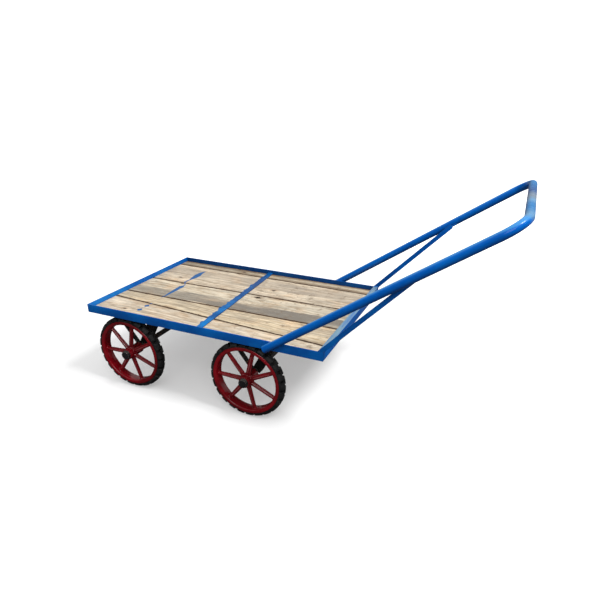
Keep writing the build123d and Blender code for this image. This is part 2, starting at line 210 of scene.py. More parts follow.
def stretch(tree, scale=(1.0, 1.0, 1.0), shift=(0.0, 0.0, 0.0)):
    """Object coordinates, scaled along each axis and moved."""
    here = put(tree, "TexCoord").node.outputs["Object"]
    return put(tree, "Mapping", {"Vector": here, "Location": shift, "Scale": scale})


def marked(tree, name):
    """A value that the mesh itself carries under a name."""
    return put(tree, "Attribute", attribute_name=name).node.outputs["Fac"]


def use_group(tree, group, inputs):
    """Place a node group in a material with its own values, and give its outputs."""
    return put(tree, "Group", inputs, node_tree=group).node.outputs


def new_material(name, even=()):
    """A material with its shader, whose even values are set on its own sockets."""
    material = bpy.data.materials.new(name)
    material.use_nodes = True
    shader = material.node_tree.nodes["Principled BSDF"]
    for socket, value in dict(even).items():
        shader.inputs[socket].default_value = value
    return material.node_tree, shader, material


def surface(tree, shader, color, roughness, height, depth):
    """Feed colour, roughness and relief to a shader; depth is the relief in metres."""
    tree.links.new(color, shader.inputs["Base Color"])
    tree.links.new(roughness, shader.inputs["Roughness"])
    bump = put(tree, "Bump", {"Height": height, "Distance": depth, "Strength": 1.0})
    tree.links.new(bump, shader.inputs["Normal"])


def painted(name, strokes, values, depth, even=()):
    """A material of old paint; strokes is the scale of the brush marks along each axis."""
    tree, shader, material = new_material(name, even)
    worn = {"Strokes": stretch(tree, strokes), "Arris": marked(tree, "arris")}
    paint = use_group(tree, old_paint, {**values, **worn})
    surface(tree, shader, paint["Color"], paint["Roughness"], paint["Height"], depth)
    return material


blue = {
    "Paint": (0.0002, 0.072, 0.32, 1.0),
    "Faded": (0.0006, 0.122, 0.45, 1.0),
    "Bare": (0.035, 0.032, 0.034, 1.0),
    "Dust": (0.10, 0.13, 0.17, 1.0),
    "Chipping": 0.22,
    "Dustiness": 0.10,
    "Gloss": 0.3,
}
sheen = {"Specular IOR Level": 0.12}
lengthwise, crosswise = (7.0, 140.0, 140.0), (140.0, 7.0, 140.0)
brush_depth = 0.0003
blue_along = painted("blue_enamel_along", lengthwise, blue, brush_depth, sheen)
blue_across = painted("blue_enamel_across", crosswise, blue, brush_depth, sheen)

# The channel's upward faces are tinted pale grey in streaks along it
pale_top_grey = (0.15, 0.25, 0.31, 1.0)
tree, shader, blue_pale_top = new_material("blue_enamel_pale_top", sheen)
paint = use_group(tree, old_paint, {**blue, "Strokes": stretch(tree, crosswise)})
streaks = cloud(tree, stretch(tree, (90.0, 9.0, 90.0)), 1.0, 5.0, 0.65)
streaks = ease(tree, streaks, 0.3, 0.62, 0.3, 0.95)
lightened = calc(tree, "MULTIPLY", ease(tree, facing(tree, "Z"), 0.4, 0.9), streaks)
color = tint(tree, lightened, paint["Color"], pale_top_grey)
surface(tree, shader, color, paint["Roughness"], paint["Height"], brush_depth)

# Painted shade: the inner face of the right rail, which faces the deck, is darkened towards black
painted_shade_black = (0.003, 0.008, 0.014, 1.0)
tree, shader, blue_shaded_inside = new_material("blue_enamel_shaded_inside", sheen)
paint = use_group(tree, old_paint, {**blue, "Strokes": stretch(tree, lengthwise)})
darkened = ease(tree, facing(tree, "Y"), -0.3, -0.9, 0.0, 0.55)
color = tint(tree, darkened, paint["Color"], painted_shade_black)
surface(tree, shader, color, paint["Roughness"], paint["Height"], brush_depth)

# A lighter copy of the blue, with more dust, for the front rail: the lighter paint is painted light for its
# lit inner face and the highlight along its top edge
lit_copy_blue = {**blue, "Paint": (0.002, 0.092, 0.39, 1.0), "Faded": (0.012, 0.18, 0.52, 1.0), "Dustiness": 0.4}
blue_painted_lit = painted("blue_enamel_painted_lit", crosswise, lit_copy_blue, brush_depth, sheen)


def hand_over(piece, material, slot, body, *nodes):
    """Paint a finished piece, set it on its body and let it stand for its solids."""
    piece.data.materials.append(material)
    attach(piece, body)
    if nodes:
        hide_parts(*nodes)


coats = {
    "left_side_rail": blue_along,
    "right_side_rail": blue_shaded_inside,
    "front_rail": blue_painted_lit,
    "rear_channel": blue_pale_top,
}
for bar, coat in coats.items():
    hand_over(rails[bar], coat, "frame_blue", "frame", bar)

# Cross members: four lengths of small angle welded under the boards between the rails. They were painted
# dark long before the frame's last coat of blue, and rust shows through, most of all near the boards.
under_values = {
    "Paint": (0.008, 0.009, 0.008, 1.0),
    "Faded": (0.024, 0.023, 0.02, 1.0),
    "Bare": (0.19, 0.07, 0.028, 1.0),
    "Chipping": 0.5,
    "Dustiness": 0.2,
    "Gloss": 0.5,
}
paint_holds_below, rust_wins_above = 0.30, 0.35
rust_depth = 0.0006
small_arris = 0.0009
tree, shader, under_paint = new_material("underframe_paint")
rusted = {
    "Chipping": ease(tree, axis(tree, stretch(tree), "Z"), paint_holds_below, rust_wins_above, 0.5, 1.05),
    "Strokes": stretch(tree, (20.0, 20.0, 60.0)),
}
paint = use_group(tree, old_paint, {**under_values, **rusted})
surface(tree, shader, paint["Color"], paint["Roughness"], paint["Height"], rust_depth)
for end in ("front", "rear"):
    for over in ("leg", "stay"):
        bar = f"{end}_{over}_cross_member"
        member = take_solid(bar, f"{bar}_painted")
        round_arrises(member, small_arris)
        hand_over(member, under_paint, "underframe_paint", "frame", bar)


# Deck boards: five reclaimed sawn boards, dry and weathered, laid loose lengthwise and held by the strip.
# They differ in width and tone, and some have knots and old nail holes.
def vector(tree, operation, first, second):
    """One step of arithmetic on places."""
    return put(tree, "VectorMath", {0: first, 1: second}, operation=operation)


def how_far(tree, place):
    """How far a place is from the origin."""
    return put(tree, "VectorMath", {0: place}, operation="LENGTH").node.outputs["Value"]


def drawn_out(tree, place, along, across, detail, roughness):
    """Soft noise drawn out along the grain, with its own scale along and across it."""
    place = vector(tree, "MULTIPLY", place, (along, across, across))
    return cloud(tree, place, 1.0, detail, roughness)


# A knot bends the grain round itself, and has a dark core in a brown ring
knot, given, result = open_group(
    "Knot",
    {"Vector": (0.0, 0.0, 0.0), "Place": (0.0, 0.0, 0.0), "Size": 0.02},
    {"Vector": 3, "Core": 0, "Ring": 0},
)
away = vector(knot, "SUBTRACT", given["Vector"], given["Place"])
away = vector(knot, "MULTIPLY", away, (0.5, 1.0, 0.0))
ragged = calc(knot, "MULTIPLY_ADD", cloud(knot, given["Vector"], 60.0), 0.9, 0.55)
span = calc(knot, "MULTIPLY", how_far(knot, away), ragged)
span = calc(knot, "DIVIDE", span, given["Size"])
pull = calc(knot, "EXPONENT", calc(knot, "MULTIPLY", calc(knot, "POWER", span, 2.0), -0.16))
bent = put(knot, "VectorMath", {0: away, "Scale": calc(knot, "MULTIPLY", pull, -0.8)}, operation="SCALE")
bent = vector(knot, "MULTIPLY", bent, (0.0, 1.0, 0.0))
knot.links.new(vector(knot, "ADD", given["Vector"], bent), result["Vector"])
knot.links.new(ease(knot, span, 0.55, 0.3), result["Core"])
knot.links.new(ease(knot, span, 1.25, 0.5), result["Ring"])

# Sawn wood: rings, fibres and stains, a grey weathered band, nail marks, and soil along the seams; on the
# right edge board the soil band is widened, partly as painted shade from the far rail
warm_stain = (0.50, 0.31, 0.16, 1.0)
grime_brown = (0.16, 0.115, 0.075, 1.0)
nail_black = (0.05, 0.035, 0.025, 1.0)
soil_and_shade_brown = (0.11, 0.065, 0.032, 1.0)
torn_dark = (0.05, 0.026, 0.012, 1.0)
sawn_board, given, result = open_group(
    "Sawn board",
    {
        "Vector": (0.0, 0.0, 0.0),
        "Pale": (0.5, 0.4, 0.3, 1.0),
        "Brown": (0.3, 0.2, 0.12, 1.0),
        "Grey": (0.2, 0.19, 0.17, 1.0),
        "Spacing": 0.009,
        "Heart": (0.0, 0.0, 0.0),
        "Greyness": 0.3,
        "Band": 0.0,
        "Band Width": 0.05,
        "Band Strength": 0.5,
        "Rear Band": 0.5,
        "Rear Shade": 1.0,
        "Soil And Shade": 1.0,
        "Along": 0.5,
        "Seam": 1.0,
    },
    {"Color": 4, "Roughness": 0, "Height": 0},
)
slow = vector(sawn_board, "MULTIPLY", given["Vector"], (1.6, 5.0, 5.0))
drift = cloud(sawn_board, slow, 1.0, 2.0).node.outputs["Color"]
drift = vector(sawn_board, "SUBTRACT", drift, (0.5, 0.5, 0.5))
drift = vector(sawn_board, "MULTIPLY", drift, (0.0, 0.09, 0.09))
log = vector(sawn_board, "ADD", given["Vector"], drift)
log = vector(sawn_board, "SUBTRACT", log, given["Heart"])
log = vector(sawn_board, "MULTIPLY", log, (0.0, 1.0, 1.0))
turns = calc(sawn_board, "DIVIDE", how_far(sawn_board, log), given["Spacing"])
turns = calc(sawn_board, "MULTIPLY", turns, math.tau)
rings = calc(sawn_board, "MULTIPLY_ADD", calc(sawn_board, "SINE", turns), 0.5, 0.5)
rings = calc(sawn_board, "POWER", rings, 1.8)
fibres = drawn_out(sawn_board, given["Vector"], 9.0, 330.0, 4.0, 0.6)
streaks = drawn_out(sawn_board, given["Vector"], 2.2, 24.0, 4.0, 0.55)
blotch = drawn_out(sawn_board, given["Vector"], 26.0, 75.0, 3.0, 0.6)
dark = calc(sawn_board, "MULTIPLY_ADD", rings, 0.32, calc(sawn_board, "MULTIPLY", fibres, 0.45))
dark = calc(sawn_board, "MULTIPLY_ADD", streaks, 0.75, calc(sawn_board, "SUBTRACT", dark, 0.42))
dark = calc(sawn_board, "MULTIPLY_ADD", calc(sawn_board, "SUBTRACT", blotch, 0.5), 0.8, dark)
wood = tint(sawn_board, ease(sawn_board, dark, 0.12, 0.66), given["Pale"], given["Brown"])
stains = cloud(sawn_board, given["Vector"], 7.0, 4.0, 0.6)
wood = tint(sawn_board, ease(sawn_board, stains, 0.48, 0.75, 0.0, 0.5), wood, warm_stain)
mottle = drawn_out(sawn_board, given["Vector"], 6.0, 50.0, 5.0, 0.7)
wood = tint(sawn_board, 1.0, wood, ease(sawn_board, mottle, 0.3, 0.7, 0.64, 1.34), "MULTIPLY")

across = axis(sawn_board, given["Vector"], "Y")
across = calc(sawn_board, "MULTIPLY_ADD", calc(sawn_board, "SUBTRACT", streaks, 0.5), 0.11, across)
off = calc(sawn_board, "ABSOLUTE", calc(sawn_board, "SUBTRACT", across, given["Band"]))
band = ease(sawn_board, calc(sawn_board, "DIVIDE", off, given["Band Width"]), 1.0, 0.7)
more = calc(sawn_board, "SUBTRACT", given["Rear Band"], given["Band Strength"])
strength = calc(sawn_board, "MULTIPLY_ADD", given["Along"], more, given["Band Strength"])
band = calc(sawn_board, "MULTIPLY", band, strength)
broken = ease(sawn_board, cloud(sawn_board, slow, 1.3, 2.0), 0.28, 0.55)
band = calc(sawn_board, "MULTIPLY", band, broken)
patches = ease(sawn_board, cloud(sawn_board, slow, 2.2, 3.0), 0.42, 0.72)
weather = calc(sawn_board, "MULTIPLY_ADD", patches, given["Greyness"], band)
weather = calc(sawn_board, "MULTIPLY", weather, ease(sawn_board, fibres, 0.25, 0.6, 0.35, 1.0))
wood = tint(sawn_board, calc(sawn_board, "MINIMUM", weather, 0.95), wood, given["Grey"])

darkened = ease(sawn_board, cloud(sawn_board, given["Vector"], 26.0, 5.0, 0.7), 0.52, 0.68)
darkened = calc(sawn_board, "MULTIPLY", darkened, ease(sawn_board, given["Along"], 0.3, 0.75, 0.25, 0.7))
wood = tint(sawn_board, darkened, wood, grime_brown)
cells = put(sawn_board, "TexVoronoi", {"Vector": given["Vector"], "Scale": 13.0}).node.outputs
few = ease(sawn_board, put(sawn_board, "SeparateColor", {0: cells["Color"]}), 0.62, 0.66)
speck = calc(sawn_board, "MULTIPLY", ease(sawn_board, cells["Distance"], 0.06, 0.035), few)
wood = tint(sawn_board, calc(sawn_board, "MULTIPLY", speck, 0.75), wood, nail_black)
shade = ease(sawn_board, given["Along"], 0.1, 0.9, 1.0, given["Rear Shade"])
wood = tint(sawn_board, 1.0, wood, shade, "MULTIPLY")
soil_and_shade = calc(sawn_board, "MAXIMUM", calc(sawn_board, "MULTIPLY_ADD", streaks, 0.030, -0.004), 0.001)
soil_and_shade = calc(sawn_board, "MULTIPLY", soil_and_shade, given["Soil And Shade"])
soil_and_shade = ease(sawn_board, calc(sawn_board, "DIVIDE", given["Seam"], soil_and_shade), 1.0, 0.05, 0.0, 0.72)
wood = tint(sawn_board, soil_and_shade, wood, soil_and_shade_brown)
torn = calc(sawn_board, "MULTIPLY_ADD", blotch, 0.017, -0.0048)
torn = calc(sawn_board, "SUBTRACT", given["Seam"], torn)
wood = tint(sawn_board, ease(sawn_board, torn, 0.0008, -0.0008, 0.0, 0.93), wood, torn_dark)
sawn_board.links.new(wood, result["Color"])
sawn_board.links.new(calc(sawn_board, "MULTIPLY_ADD", fibres, 0.25, 0.58), result["Roughness"])
grain = calc(sawn_board, "MULTIPLY_ADD", fibres, 0.7, calc(sawn_board, "MULTIPLY", rings, -0.3))
sawn_board.links.new(calc(sawn_board, "SUBTRACT", grain, speck), result["Height"])


def ramp(tree, place, stops):
    """A colour that changes along a line, given as places from 0 to 1 and their colours."""
    made = put(tree, "ValToRGB", {0: place})
    elements = made.node.color_ramp.elements
    for _ in range(len(stops) - len(elements)):
        elements.new(0.5)
    for element, (position, color) in zip(elements, stops):
        element.position = position
        element.color = (*color, 1.0)
    return made


# Blue overspray left on the boards: one streak, whose width changes across the deck, and a ragged fringe
# along the strip's front edge, which runs a little askew
streak_widths = (
    (0.088, 0.0), (0.108, 0.85), (0.130, 0.0), (0.150, 0.0), (0.172, 0.8), (0.190, 0.1), (0.198, 0.0),
    (0.208, 0.45), (0.218, 0.0), (0.300, 0.0), (0.330, 0.18), (0.400, 0.4), (0.480, 0.7), (0.525, 0.8),
    (0.545, 0.2), (0.585, 0.15), (0.610, 0.35), (0.660, 0.3), (0.700, 0.75), (0.760, 1.0), (0.800, 0.75),
    (0.850, 0.0),
)
full_width = 0.0185
per_deck_width = 1.25
strip_slope, strip_edge = -0.04293, -0.369425
overspray, given, result = open_group("Overspray", {"Vector": (0.0, 0.0, 0.0)}, {"Mask": 0})
spot = put(overspray, "SeparateXYZ", {0: given["Vector"]}).node.outputs
waver = calc(overspray, "SUBTRACT", cloud(overspray, given["Vector"], 14.0, 3.0), 0.5)
lead = ease(overspray, spot["Y"], 0.045, 0.095, -0.7065, -0.7285)
lead = calc(overspray, "MULTIPLY_ADD", waver, 0.022, lead)
off = calc(overspray, "ABSOLUTE", calc(overspray, "SUBTRACT", spot["X"], lead))
over = calc(overspray, "MULTIPLY_ADD", spot["Y"], per_deck_width, 0.5)
reach = ramp(overspray, over, [(place, (width,) * 3) for place, width in streak_widths])
reach = calc(overspray, "MULTIPLY_ADD", reach, full_width, -0.0004)
streak = ease(overspray, calc(overspray, "SUBTRACT", off, reach), 0.002, -0.002)
lip = calc(overspray, "MULTIPLY_ADD", spot["Y"], strip_slope, strip_edge)
lip = calc(overspray, "SUBTRACT", lip, spot["X"])
fringe = calc(overspray, "MULTIPLY_ADD", cloud(overspray, given["Vector"], 32.0, 1.5), 0.045, -0.0155)
fringe = ease(overspray, calc(overspray, "SUBTRACT", lip, fringe), 0.0015, -0.0015)
fringe = calc(overspray, "MULTIPLY", fringe, ease(overspray, lip, -0.001, 0.0))
overspray.links.new(calc(overspray, "MAXIMUM", streak, fringe), result["Mask"])

# Each board's own tones, its knots as place and size, and its holes as x, y and radius
board_looks = {
    # The right edge board's darker tones are partly its own weathering and partly painted shade from the far
    # rail
    "right_edge_board": {
        "Pale": (0.39, 0.33, 0.24, 1.0), "Brown": (0.23, 0.175, 0.115, 1.0),
        "Grey": (0.195, 0.175, 0.14, 1.0), "Heart": (0.0, 0.10, -0.09), "Greyness": 0.6,
        "Band": 0.0, "Band Width": 0.03, "Band Strength": 0.2, "Rear Band": 0.2,
        "Rear Shade": 1.35, "Soil And Shade": 3.5,
    },
    "right_wide_board": {
        "Pale": (0.54, 0.46, 0.35, 1.0), "Brown": (0.34, 0.26, 0.18, 1.0),
        "Grey": (0.27, 0.23, 0.185, 1.0), "Heart": (0.0, -0.03, -0.11), "Greyness": 0.45,
        "Band": 0.03, "Band Width": 0.06, "Band Strength": 0.6, "Rear Band": 0.6,
        "Rear Shade": 0.97,
    },
    "middle_board": {
        "Pale": (0.52, 0.455, 0.35, 1.0), "Brown": (0.36, 0.28, 0.19, 1.0),
        "Grey": (0.165, 0.147, 0.124, 1.0), "Heart": (0.0, 0.05, -0.08), "Greyness": 0.25,
        "Band": -0.058, "Band Width": 0.055, "Band Strength": 0.8, "Rear Band": 1.4,
        "Rear Shade": 0.9,
    },
    "left_inner_board": {
        "Pale": (0.54, 0.45, 0.315, 1.0), "Brown": (0.355, 0.255, 0.148, 1.0),
        "Grey": (0.24, 0.21, 0.17, 1.0), "Heart": (0.0, -0.06, -0.10), "Greyness": 0.4,
        "Band": 0.02, "Band Width": 0.05, "Band Strength": 0.35, "Rear Band": 0.35,
    },
    "left_edge_board": {
        "Pale": (0.52, 0.445, 0.345, 1.0), "Brown": (0.38, 0.28, 0.185, 1.0),
        "Grey": (0.30, 0.26, 0.205, 1.0), "Heart": (0.0, 0.04, -0.12), "Greyness": 0.2,
        "Band": 0.0, "Band Width": 0.03, "Band Strength": 0.15, "Rear Band": 0.15,
    },
}
board_knots = {
    "right_edge_board": (((-0.52, 0.0, 0.0), 0.012),),
    "right_wide_board": (((-0.24, -0.03, 0.0), 0.014), ((-0.80, -0.06, 0.0), 0.012)),
    "middle_board": (((-0.2682, 0.0775, 0.0), 0.02), ((-0.729, 0.09, 0.0), 0.012)),
    "left_inner_board": (((0.1, 0.02, 0.0), 0.011),),
    "left_edge_board": (((-0.78, -0.02, 0.0), 0.010),),
}
board_holes = {
    "middle_board": ((-0.2682, 0.0501, 0.0095), (-0.1354, 0.0415, 0.003)),
    "right_wide_board": (
        (-0.3017, 0.1131, 0.0035), (-0.2911, 0.1713, 0.0025), (-0.24, 0.1631, 0.003),
        (-0.1965, 0.1215, 0.0035), (-0.1569, 0.17, 0.0025), (-0.1297, 0.1979, 0.003),
        (-0.0828, 0.1434, 0.0025),
    ),
}
on_end = 0.0001
drill_depth, drill_wander = 0.024, 0.22
crosscuts, rips = 40, 8
side_skin, top_skin = 0.002, 0.002
hole_from_side, hole_bottom = 0.004, 0.0145
# The sides waver both ways, and the top only sinks, so that no board rises past the strip
unevenness = (("sides", "Y", 0.09, 0.0016, 0.5), ("top", "Z", 0.12, 0.0008, 1.0))
grain_depth = 0.0008
grain_apart = 1.7
knot_brown, knot_black = (0.20, 0.12, 0.065, 1.0), (0.03, 0.02, 0.014, 1.0)
spray_blue, painted_hole_shade = (0.004, 0.08, 0.245, 1.0), (0.008, 0.006, 0.004, 1.0)
for count, board in enumerate(board_looks):
    plank = take_solid(board, f"{board}_sawn")
    low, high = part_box(board)
    length = high.x - low.x
    ends = []
    for x in (low.x, high.x):
        ys = [v.co.y for v in plank.data.vertices if abs(v.co.x - x) < on_end]
        ends.append((min(ys), max(ys)))
    (front_near, front_far), (rear_near, rear_far) = ends
    middles = [(near + far) / 2 for near, far in ends]
    taper = math.atan2(middles[1] - middles[0], length)
    for hole, (x, y, radius) in enumerate(board_holes.get(board, ())):
        bpy.ops.object.select_all(action="DESELECT")
        bpy.ops.mesh.primitive_cylinder_add(
            vertices=16, radius=radius, depth=drill_depth, location=(x, y, high.z)
        )
        drill = bpy.context.object
        bpy.ops.object.mode_set(mode="EDIT")
        bpy.ops.transform.vertex_random(offset=radius * drill_wander, seed=hole)
        bpy.ops.object.mode_set(mode="OBJECT")
        bpy.context.view_layer.objects.active = plank
        cut = plank.modifiers.new("hole", "BOOLEAN")
        cut.object = drill
        bpy.ops.object.modifier_apply(modifier="hole")
        bpy.data.objects.remove(drill)
    bpy.ops.object.select_all(action="DESELECT")
    plank.select_set(True)
    bpy.ops.object.mode_set(mode="EDIT")
    for step in range(1, crosscuts):
        bpy.ops.mesh.select_all(action="SELECT")
        bpy.ops.mesh.bisect(plane_co=(low.x + length * step / crosscuts, 0, 0), plane_no=(1, 0, 0))
    for step in range(1, rips):
        start = front_near + (front_far - front_near) * step / rips
        stop = rear_near + (rear_far - rear_near) * step / rips
        bpy.ops.mesh.select_all(action="SELECT")
        bpy.ops.mesh.bisect(plane_co=(low.x, start, 0), plane_no=(start - stop, length, 0))
    bpy.ops.object.mode_set(mode="OBJECT")
    sides = plank.vertex_groups.new(name="sides")
    top = plank.vertex_groups.new(name="top")
    plank.data.attributes.new("seam", "FLOAT", "POINT")
    plank.data.attributes.new("inside", "FLOAT", "POINT")
    seam, inside = plank.data.attributes["seam"], plank.data.attributes["inside"]
    for vertex, mark, deep in zip(plank.data.vertices, seam.data, inside.data):
        share = (vertex.co.x - low.x) / length
        near = front_near + (rear_near - front_near) * share
        far = front_far + (rear_far - front_far) * share
        mark.value = max(0.0, min(vertex.co.y - near, far - vertex.co.y))
        if mark.value < side_skin:
            sides.add([vertex.index], 1.0, "REPLACE")
        deep.value = mark.value > hole_from_side and top_skin < high.z - vertex.co.z < hole_bottom
        if vertex.co.z > high.z - top_skin:
            top.add([vertex.index], 1.0, "REPLACE")
    for group, direction, size, strength, level in unevenness:
        lumps = bpy.data.textures.new(f"{board}_{group}", "CLOUDS")
        lumps.noise_scale = size
        warp = plank.modifiers.new(group, "DISPLACE")
        warp.texture = lumps
        warp.direction = direction
        warp.strength = strength
        warp.mid_level = level
        warp.vertex_group = group
        bpy.ops.object.modifier_apply(modifier=group)
    bpy.ops.object.shade_smooth_by_angle(angle=math.radians(30))

    tree, shader, timber = new_material(f"sawn_{board}", {"Specular IOR Level": 0.3})
    centred = stretch(tree, shift=(0.0, -sum(middles) / 2, -high.z))
    swing = {"Vector": centred, "Center": ((low.x + high.x) / 2, 0, 0), "Angle": -taper}
    flow = put(tree, "VectorRotate", swing)
    cores, halos = None, None
    for place, size in board_knots[board]:
        found = use_group(tree, knot, {"Vector": flow, "Place": place, "Size": size})
        flow = found["Vector"]
        cores = found["Core"] if cores is None else calc(tree, "MAXIMUM", cores, found["Core"])
        halos = found["Ring"] if halos is None else calc(tree, "MAXIMUM", halos, found["Ring"])
    lie = {
        "Vector": vector(tree, "ADD", flow, (count * grain_apart, 0.0, 0.0)),
        "Seam": marked(tree, "seam"),
        "Along": ease(tree, axis(tree, centred, "X"), low.x, high.x),
    }
    sawn = use_group(tree, sawn_board, {**board_looks[board], **lie})
    spray = use_group(tree, overspray, {"Vector": stretch(tree)})
    # Painted shade: the walls of the holes are tinted near black
    dark = ease(tree, marked(tree, "inside"), 0.02, 0.2, 0.0, 0.95)
    color = tint(tree, calc(tree, "MULTIPLY", halos, 0.4), sawn["Color"], knot_brown)
    color = tint(tree, calc(tree, "MULTIPLY", cores, 0.9), color, knot_black)
    color = tint(tree, calc(tree, "MULTIPLY", spray["Mask"], 0.97), color, spray_blue)
    color = tint(tree, dark, color, painted_hole_shade)
    surface(tree, shader, color, sawn["Roughness"], sawn["Height"], grain_depth)
    hand_over(plank, timber, "board_wood", "frame", board)

# Hold-down strip: one flat bar of mild steel across the boards, a little askew. It is welded to both rails
# and was painted in place, and the paint is uneven and worn.
worn_strip = {
    **blue,
    "Paint": (0.0002, 0.045, 0.18, 1.0),
    "Faded": (0.002, 0.15, 0.44, 1.0),
    "Chipping": 0.3,
    "Dustiness": 0.12,
}
dull = {"Specular IOR Level": 0.06}
blue_strip = painted("blue_enamel_strip", (140.0, 12.0, 140.0), worn_strip, brush_depth, dull)
strip = take_solid("hold_down_strip", "hold_down_strip_painted")
round_arrises(strip, small_arris)
hand_over(strip, blue_strip, "frame_blue", "frame", "hold_down_strip")

# Handle: one steel tube bent to a U and welded to the outer faces of the side rails. Hands have worn the
# paint on the crossbar thin, down to older coats and primer.
blue_tube = {
    **blue,
    "Paint": (0.0001, 0.09, 0.42, 1.0),
    "Faded": (0.0002, 0.12, 0.50, 1.0),
    "Gloss": 0.16,
    "Chipping": 0.15,
}
# The coats that show along the crossbar, from its left end to its right end; the pale stop near its left end
# is a painted highlight
top_coat, pale_coat_and_highlight = (0.01, 0.12, 0.30), (0.10, 0.22, 0.35)
primer, old_coat = (0.14, 0.17, 0.20), (0.005, 0.035, 0.15)
worn_coats = (
    (0.03, top_coat), (0.13, pale_coat_and_highlight), (0.25, top_coat), (0.35, top_coat),
    (0.43, pale_coat_and_highlight), (0.52, primer), (0.57, primer), (0.68, old_coat), (0.92, top_coat),
)
bends_end, bar_starts = 0.875, 0.905
grip_ends, grip_full = 0.385, 0.355
painted_highlight_blue, painted_shade_blue = (0.05, 0.24, 0.52, 1.0), (0.0005, 0.014, 0.05, 1.0)
tube_arris = 0.0008
tree, shader, blue_handle = new_material("blue_enamel_handle", {"Specular IOR Level": 0.18})
here = stretch(tree)
paint = use_group(tree, old_paint, {**blue_tube, "Strokes": stretch(tree, (40.0, 40.0, 40.0))})
spot = put(tree, "SeparateXYZ", {0: here}).node.outputs
wander = cloud(tree, here, 55.0, 4.0, 0.6)
along = calc(tree, "MULTIPLY_ADD", spot["Y"], per_deck_width, 0.54)
wear = ramp(tree, calc(tree, "MULTIPLY_ADD", wander, 0.06, along), worn_coats)
upward = facing(tree, "Z")
held = calc(tree, "MULTIPLY", ease(tree, spot["X"], bends_end, bar_starts), ease(tree, upward, -0.2, 0.5))
held = calc(tree, "MULTIPLY", held, ease(tree, calc(tree, "ABSOLUTE", spot["Y"]), grip_ends, grip_full))
held = calc(tree, "MULTIPLY", held, ease(tree, wander, 0.3, 0.5, 0.55, 0.9))
# Painted light on the tube: upward faces are tinted paler as a painted highlight, and downward faces darker
# as painted shade
coat = tint(tree, ease(tree, upward, 0.5, 0.8, 0.0, 0.8), paint["Color"], painted_highlight_blue)
coat = tint(tree, ease(tree, upward, 0.1, -0.7, 0.0, 0.6), coat, painted_shade_blue)
rough = calc(tree, "MULTIPLY_ADD", held, 0.4, paint["Roughness"])
surface(tree, shader, tint(tree, held, coat, wear), rough, paint["Height"], brush_depth)
handle = take_solid("handle", "handle_painted")
round_arrises(handle, tube_arris)
hand_over(handle, blue_handle, "frame_blue", "frame", "handle")

# Handle braces: two lengths of small steel angle that run up from the rear channel to the inner side of the
# handle's legs. They are welded at both ends and painted with the frame.
for side in ("left", "right"):
    brace = take_solid(f"{side}_handle_brace", f"{side}_handle_brace_painted")
    round_arrises(brace, small_arris)
    hand_over(brace, blue_along, "frame_blue", "frame", f"{side}_handle_brace")

# Hangers: at each wheel a leg of steel angle behind the axle and a round stay in front of it, welded to the
# cross members above and coped over the axle below. They keep the same old dark paint.
leg_arris, stay_arris = 0.0012, 0.0006
for end in ("front", "rear"):
    for side in ("left", "right"):
        for bar, rounding in (("hanger_leg", leg_arris), ("stay", stay_arris)):
            hanger = take_solid(f"{end}_{side}_{bar}", f"{end}_{side}_{bar}_painted")
            round_arrises(hanger, rounding)
            hand_over(hanger, under_paint, "underframe_paint", "frame", f"{end}_{side}_{bar}")

# Axles: two plain round steel bars with turned journals at their ends, welded to the hangers and dark with
# dirt and old grease.
axle_values = {**under_values, "Paint": (0.016, 0.016, 0.015, 1.0), "Chipping": 0.55, "Gloss": 0.42}
dirt_depth = 0.0005
axle_arris = 0.0005
axle_dirt = painted("axle_bar", (60.0, 6.0, 60.0), axle_values, dirt_depth)
for end in ("front", "rear"):
    axle = take_solid(f"{end}_axle", f"{end}_axle_turned")
    round_arrises(axle, axle_arris)
    hand_over(axle, axle_dirt, "axle_steel", "frame", f"{end}_axle")

# Weld beads: runs of stick weld where the bars meet, left as laid and painted over with the bars.
# One run is made as a row of overlapping scales and copied along every seam.
scale_radius, scale_pitch, scale_count = 0.0034, 0.0029, 14
first_scale = (-0.0189, 0.0, 0.0)
run_length = 0.0432
bead_grain = 0.0008
bpy.ops.object.select_all(action="DESELECT")
bpy.ops.mesh.primitive_uv_sphere_add(segments=16, ring_count=8, radius=scale_radius, location=first_scale)
run_of_weld = bpy.context.object
bpy.ops.object.transform_apply(location=True)
bpy.ops.object.mode_set(mode="EDIT")
bpy.ops.transform.resize(value=(0.8, 1.0, 0.75), center_override=first_scale)
bpy.ops.object.mode_set(mode="OBJECT")
row = run_of_weld.modifiers.new("row", "ARRAY")
row.count = scale_count
row.use_relative_offset = False
row.use_constant_offset = True
row.constant_offset_displace = (scale_pitch, 0.0, 0.0)
bpy.ops.object.modifier_apply(modifier="row")
fuse = run_of_weld.modifiers.new("fuse", "REMESH")
fuse.voxel_size = bead_grain
bpy.ops.object.modifier_apply(modifier="fuse")
soften = run_of_weld.modifiers.new("soften", "SMOOTH")
soften.iterations = 1
bpy.ops.object.modifier_apply(modifier="soften")
bpy.ops.object.shade_smooth()


def weld_along(name, seams, finish, slot):
    """Lay a run of weld along every seam, given as start, end and thickness, as one piece."""
    bpy.ops.object.select_all(action="DESELECT")
    for start, end, thickness in seams:
        start, end = Vector(start), Vector(end)
        laid = bpy.data.objects.new(name, run_of_weld.data.copy())
        bpy.context.scene.collection.objects.link(laid)
        turn = (end - start).to_track_quat("X", "Z").to_matrix().to_4x4()
        fit = Matrix.Diagonal(((end - start).length / run_length, thickness, thickness, 1.0))
        laid.data.transform(Matrix.Translation((start + end) / 2) @ turn @ fit)
        laid.select_set(True)
        bpy.context.view_layer.objects.active = laid
    bpy.ops.object.join()
    beads = bpy.context.object
    beads.name = name
    hand_over(beads, finish, slot, "frame")


def cut_end(node, level, flush=0.0002):
    """How far a bar's level end reaches, as its lowest and highest x and y."""
    end = [v.co for v in frame["nodes"][node].data.vertices if abs(v.co.z - level) < flush]
    xs, ys = [co.x for co in end], [co.y for co in end]
    return min(xs), max(xs), min(ys), max(ys)


